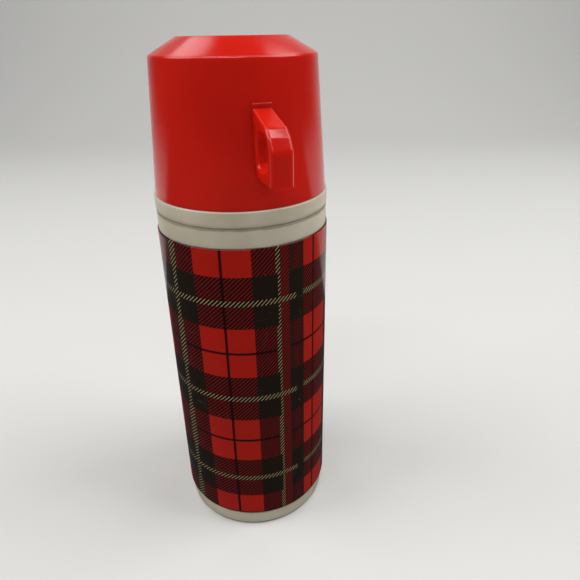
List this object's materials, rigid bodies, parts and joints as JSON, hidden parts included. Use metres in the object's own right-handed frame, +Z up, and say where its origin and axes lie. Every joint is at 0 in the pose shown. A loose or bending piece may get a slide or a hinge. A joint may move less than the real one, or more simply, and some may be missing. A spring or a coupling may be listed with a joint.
{
  "type": "vacuum flask",
  "caption": "Small cylindrical vacuum flask with a tartan-printed steel case, cream collar and base, and a red screw-on drinking cup with a finger handle.",
  "frame": {"origin": "centre of the foot, on the surface the flask stands on", "axes": "+Z up along the flask's axis; the cup's handle points along -Y; +X to the right seen from the handle"},
  "size_m": [0.07, 0.0858, 0.2127],
  "materials": {
    "red_plastic": "glossy moulded polypropylene, slightly worn",
    "cup_lining": "glossy moulded polypropylene",
    "cream_plastic": "semi-gloss moulded plastic",
    "printed_steel": "steel sheet with printed and varnished tartan",
    "silvered_glass": "silvered glass",
    "felt": "pressed fibre",
    "rubber": "matte rubber",
    "foam": "closed-cell foam",
    "stopper_plastic": "semi-gloss moulded plastic"
  },
  "bodies": {
    "flask": {"base_cup": "cream_plastic", "base_cushion": "rubber", "tip_cap": "rubber", "case_tube": "printed_steel", "centring_ring": "foam", "shoulder_ring": "cream_plastic", "glass_outer": "silvered_glass", "glass_inner": "silvered_glass", "spacer_pads": "felt"},
    "neck_seal": {"neck_gasket": "rubber"},
    "collar": {"collar": "cream_plastic"},
    "stopper_seal": {"stopper_gasket": "rubber"},
    "stopper": {"stopper_body": "stopper_plastic", "stopper_cap": "stopper_plastic", "stopper_foam": "foam"},
    "cup_lining": {"cup_liner": "cup_lining"},
    "cup": {"cup_shell": "red_plastic"}
  },
  "joints": [
    {"name": "collar_rise", "type": "slide", "parent": "flask", "child": "neck_seal", "axis": [0, 0, 1], "range_m": [0, 0.009]},
    {"name": "collar_turn", "type": "hinge", "parent": "neck_seal", "child": "collar", "pos_m": [0, 0, 0.1555], "axis": [0, 0, 1], "range_deg": [0, 1080]},
    {"name": "stopper_rise", "type": "slide", "parent": "collar", "child": "stopper_seal", "axis": [0, 0, 1], "range_m": [0, 0.023]},
    {"name": "stopper_turn", "type": "hinge", "parent": "stopper_seal", "child": "stopper", "pos_m": [0, 0, 0.17], "axis": [0, 0, 1], "range_deg": [0, 2070]},
    {"name": "cup_rise", "type": "slide", "parent": "collar", "child": "cup_lining", "axis": [0, 0, 1], "range_m": [0, 0.045]},
    {"name": "cup_turn", "type": "hinge", "parent": "cup_lining", "child": "cup", "pos_m": [0, 0, 0.165], "axis": [0, 0, 1], "range_deg": [0, 1800]}
  ],
  "couplings": [
    {"joint": "collar_rise", "follows": "collar_turn", "m_per_rad": 0.00047746},
    {"joint": "stopper_rise", "follows": "stopper_turn", "m_per_rad": 0.00063662},
    {"joint": "cup_rise", "follows": "cup_turn", "m_per_rad": 0.0014324}
  ]
}
